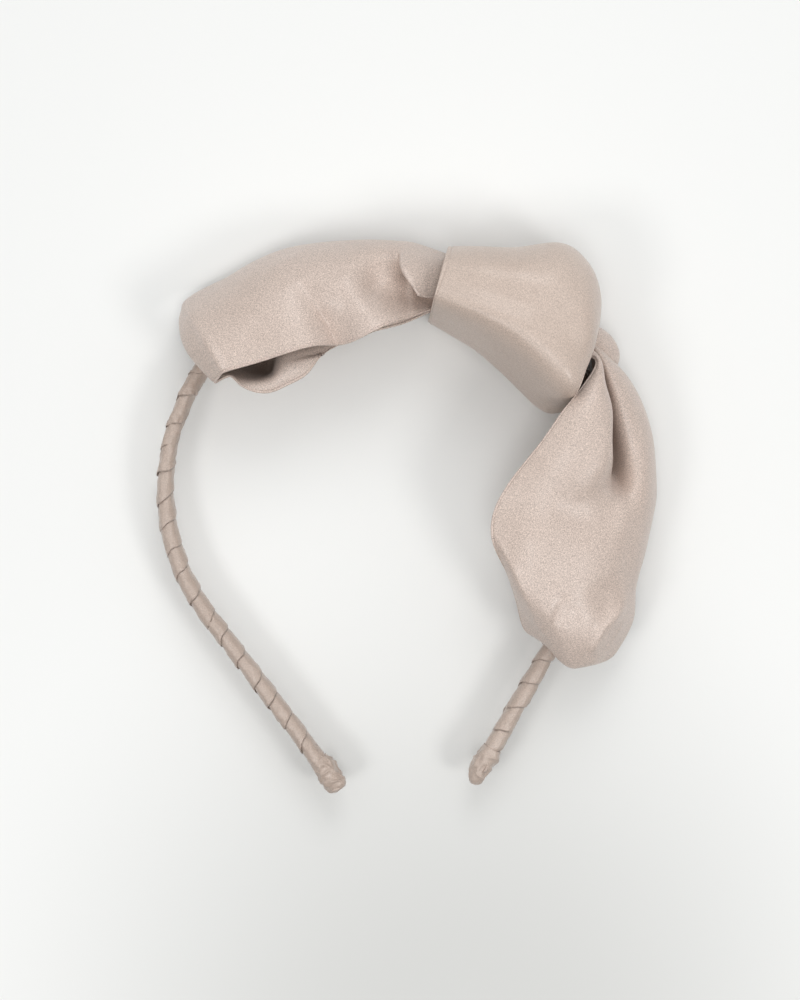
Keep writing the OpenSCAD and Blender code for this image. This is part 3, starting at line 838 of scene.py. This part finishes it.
def build_tip(side, word, half_t, half_w, rough, seed, reach):
    """The ribbon's end, folded over the tip of the core: a tapering, crumpled closed sleeve."""
    start = TIP_S - TIP_LEN - SLEEVE_LAP
    steps, turn = 44, 96
    t = np.linspace(0, 1, steps)
    s = start + (TIP_S + reach - start) * (1 - (1 - t) ** 1.35)
    a = np.linspace(0, 2 * math.pi, turn, endpoint=False)
    point, _, out = hoop(s, side)
    c, z = ring(a)
    nx, nz = ring_normal(a)
    grow_t = np.interp(t, np.linspace(0, 1, len(half_t)), half_t) / WRAP_HALF_T
    grow_w = np.interp(t, np.linspace(0, 1, len(half_w)), half_w) / WRAP_HALF_W
    spots = np.stack([s[:, None] + 0 * a, 2.4 * np.cos(a) + 0 * s[:, None],
                      4.0 * np.sin(a) + 0 * s[:, None]], axis=-1)
    slant = spots + 0.5 * spots[..., [1, 2, 0]]
    fold = 1 - np.clip(np.abs(smooth_noise(slant, 5.5, seed)) * 2.6, 0, 1)
    lap = np.clip(np.sin(a[None, :] * side + s[:, None] * 0.55 + 0.8 * seed) * 3, -1, 1)
    fade = np.sin(np.clip((1 - t) * 5, 0, 1) * math.pi / 2) * np.clip(t * 8, 0.2, 1)
    push = (rough * (0.32 * fold + 0.16 * lap) + 0.1) * fade[:, None]
    x = c[None, :] * grow_t[:, None] + nx[None, :] * push
    h = z[None, :] * grow_w[:, None] + nz[None, :] * push
    verts = point[:, None] + out[:, None] * x[..., None] + UP * h[..., None]
    verts = verts.reshape(-1, 3)
    faces = tube_walls(steps, turn)
    faces += [list(range(turn)), [(steps - 1) * turn + k for k in range(turn)]]
    obj = new_mesh(f"{word}_tip_ribbon", verts, faces)
    fix_normals(obj)
    obj.data.materials.append(RIBBON)
    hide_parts(f"{word}_tip_fold")
    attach(obj, f"{word}_arm")


def build_tack(name, side, s0, body, node_name):
    """A few turns of thread round the wrapping."""
    a = np.linspace(0, 2 * math.pi * TACK_TURNS, TACK_POINTS)
    s = s0 + (np.arange(TACK_POINTS) / (TACK_POINTS - 1) - 0.5) * TACK_LEN
    point, _, out = hoop(s, side)
    x, z = ring(a)
    nx, nz = ring_normal(a)
    grow = RIBBON_STEP + RIBBON_PLY / 2 + TACK_LIFT
    path = point + out * (x + nx * grow)[:, None] + UP * (z + nz * grow)[:, None]
    obj = tube(name, path, TACK_R)
    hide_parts(node_name)
    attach(obj, body)


def build_stitches(grid):
    """A row of slip stitches down the knot's head side, each dipping in at both ends."""
    n = normals(grid)
    row = int(STITCH_ROW * (len(grid) - 1))
    parts = []
    for i in range(STITCHES):
        j = int((0.16 + 0.68 * i / (STITCHES - 1)) * (grid.shape[1] - 1))
        span = np.linspace(-1, 1, 15)
        lift = KNOT_HALF + 0.24 * np.cos(span * math.pi / 2) - 0.16
        away = np.sign((n[row, j] * (grid[row, j] - grid.mean(axis=(0, 1)))).sum())
        along = grid[row + 3, j] - grid[row - 3, j]
        across = grid[row, j + 2] - grid[row, j - 2]
        way = along / np.linalg.norm(along) * 1.1 + across / np.linalg.norm(across) * 0.55
        path = grid[row, j] + span[:, None] * way + n[row, j] * away * lift[:, None]
        parts.append(tube(f"stitch_{i}", path, STITCH_R, 8))
    bpy.ops.object.select_all(action="DESELECT")
    for o in parts:
        o.select_set(True)
    bpy.context.view_layer.objects.active = parts[0]
    bpy.ops.object.join()
    parts[0].name = "knot_slip_stitches"
    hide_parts("knot_stitches")
    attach(parts[0], "crown")


def build_bundle():
    steps, turn = 70, 180
    centres = through(np.array([b[0] for b in BUNDLE], float), steps)
    sizes = through(np.array([b[1:] for b in BUNDLE], float), steps)
    ahead = np.gradient(centres, axis=0)
    ahead[:, 2] = 0
    ahead /= np.linalg.norm(ahead, axis=1, keepdims=True)
    out = np.stack([-ahead[:, 1], ahead[:, 0], ahead[:, 2]], axis=1)
    a = np.linspace(0, 2 * math.pi, turn, endpoint=False)
    pleat = 1 + 0.10 * np.abs(np.sin(PLEATS * a[None, :] + 0.5 * np.sin(3 * a)[None, :]
                                     + 0.06 * np.arange(steps)[:, None])) - 0.05
    x = np.cos(a)[None, :] * sizes[:, :1] * pleat
    z = np.sin(a)[None, :] * sizes[:, 1:] * pleat
    verts = centres[:, None] + out[:, None] * x[..., None] + UP * z[..., None]
    verts = verts.reshape(-1, 3)
    faces = tube_walls(steps, turn)
    faces += [list(range(turn)), [(steps - 1) * turn + k for k in range(turn)]]
    obj = new_mesh("knot_bundle", verts, faces)
    fix_normals(obj)
    obj.data.materials.append(SATIN)
    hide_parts("knot_core")
    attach(obj, "crown")


def build_pleat():
    grid = net_grid(LIP_PLEAT, 90, 90)
    grid = clear_of_floor(resample_rows(even_columns(grid, CELL), CELL, RIM))
    obj = cloth("lip_pleat_satin", grid)
    obj.data.materials.append(SATIN)
    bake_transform(obj)


# ------------------------------------------------------------------ floor, light and camera


def build_stage():
    half = FLOOR_HALF_M
    corners = [(-half, -half, 0), (half, -half, 0), (half, half, 0), (-half, half, 0)]
    floor = new_mesh("floor", np.array(corners) / MM, [(0, 1, 2, 3)])
    m = bpy.data.materials.new("paper")
    m.use_nodes = True
    b = m.node_tree.nodes["Principled BSDF"]
    b.inputs["Roughness"].default_value = 0.75
    # Painted shade: the paper's colour is greyer round a spot beyond the tips, standing in for the
    # dimmer light that falls there
    t = m.node_tree
    where = node(t, "ShaderNodeTexCoord")
    near = node(t, "ShaderNodeVectorMath", operation="DISTANCE")
    near.inputs[1].default_value = (0.01, -0.16, 0)
    t.links.new(where.outputs["Object"], near.inputs[0])
    fall = node(t, "ShaderNodeMapRange", interpolation_type="SMOOTHSTEP")
    fall.inputs["From Min"].default_value, fall.inputs["From Max"].default_value = 0.02, 0.16
    t.links.new(near.outputs["Value"], fall.inputs["Value"])
    # Painted shade: the grey paper colour near the spot, blending to the even paper colour further
    # off
    painted_shade_mix = node(t, "ShaderNodeMix", data_type="RGBA")
    painted_shade_mix.inputs["A"].default_value = (0.60, 0.60, 0.585, 1)
    painted_shade_mix.inputs["B"].default_value = (0.80, 0.802, 0.79, 1)
    t.links.new(fall.outputs["Result"], painted_shade_mix.inputs["Factor"])
    t.links.new(painted_shade_mix.outputs["Result"], b.inputs["Base Color"])
    floor.data.materials.append(m)


def area_light(name, where, target, size, power, colour=(1, 1, 1)):
    data = bpy.data.lights.new(name, "AREA")
    data.shape = "DISK"
    data.size = size
    data.energy = power
    data.color = colour
    obj = bpy.data.objects.new(name, data)
    bpy.context.scene.collection.objects.link(obj)
    obj.location = where
    away = Vector(target) - Vector(where)
    obj.rotation_euler = away.to_track_quat("-Z", "Y").to_euler()


def build_light():
    # A soft sky, brightest overhead and behind, dim on the side where the viewer stands
    world = bpy.data.worlds.new("studio")
    world.use_nodes = True
    t = world.node_tree
    back = t.nodes["Background"]
    where = node(t, "ShaderNodeTexCoord")
    split = node(t, "ShaderNodeSeparateXYZ")
    t.links.new(where.outputs["Generated"], split.inputs[0])
    lift = node(t, "ShaderNodeMath", operation="MULTIPLY")
    lift.inputs[1].default_value = 0.75
    t.links.new(split.outputs["Z"], lift.inputs[0])
    lean = node(t, "ShaderNodeMath", operation="MULTIPLY_ADD")
    lean.inputs[1].default_value = 0.45
    t.links.new(split.outputs["Y"], lean.inputs[0])
    t.links.new(lift.outputs[0], lean.inputs[2])
    sky = node(t, "ShaderNodeMapRange")
    sky.inputs["From Min"].default_value, sky.inputs["From Max"].default_value = -0.2, 0.9
    sky.inputs["To Min"].default_value, sky.inputs["To Max"].default_value = 0.05, 0.82
    t.links.new(lean.outputs[0], sky.inputs["Value"])
    back.inputs["Color"].default_value = (0.985, 0.995, 1.0, 1)
    t.links.new(sky.outputs["Result"], back.inputs["Strength"])
    bpy.context.scene.world = world
    area_light("window_left", (-0.50, -0.36, 0.86), (0, 0, 0.0), 0.30, 1.5, (1.0, 0.99, 0.98))
    area_light("window_right", (0.55, -0.42, 0.80), (0, 0, 0.0), 0.30, 1.8, (1.0, 0.99, 0.98))
    area_light("ceiling", (0.0, -0.16, 0.85), (0, 0.05, 0), 0.26, 1.0, (0.99, 0.995, 1.0))
    area_light("behind", (0.12, 0.62, 0.72), (0, 0.04, 0), 0.50, 1.3, (0.99, 0.995, 1.0))
    view = bpy.context.scene.view_settings
    view.view_transform = "Standard"
    view.look = "Medium High Contrast"


def build_camera():
    data = bpy.data.cameras.new("camera")
    data.sensor_fit = "VERTICAL"
    data.sensor_height = 24
    data.lens = CAMERA_LENS
    cam = bpy.data.objects.new("camera", data)
    bpy.context.scene.collection.objects.link(cam)
    cam.location = tuple(k * MM for k in CAMERA_AT)
    cam.rotation_euler = (0, 0, -math.radians(CAMERA_TURN))
    bpy.context.scene.camera = cam


build_camera()
build_stage()
build_light()
build_wrap()
knot_surface = build_sash()
build_bundle()
build_pleat()
build_stitches(knot_surface)
build_tack("left_tack_thread", -1, CROWN_R * math.radians(46), "crown", "left_tack")
build_tack("right_tack_thread", 1, ARM_S + 15, "right_arm", "right_tack")
# Half thicknesses and half widths of each sleeve, from its start to its end
build_tip(-1, "left", [2.6, 2.75, 2.8, 2.75, 2.5, 1.6], [4.2, 4.3, 4.2, 4.0, 3.5, 2.4], 1.7, 5, 0.3)
build_tip(1, "right", [2.65, 2.8, 2.65, 2.15, 1.5, 0.7], [4.2, 4.3, 4.1, 3.7, 3.0, 1.6], 1.5, 9, 1.3)

for o in bpy.context.scene.objects:
    if "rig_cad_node" in o and o.name.startswith("core_"):
        o.data.materials.clear()
        o.data.materials.append(CORE)
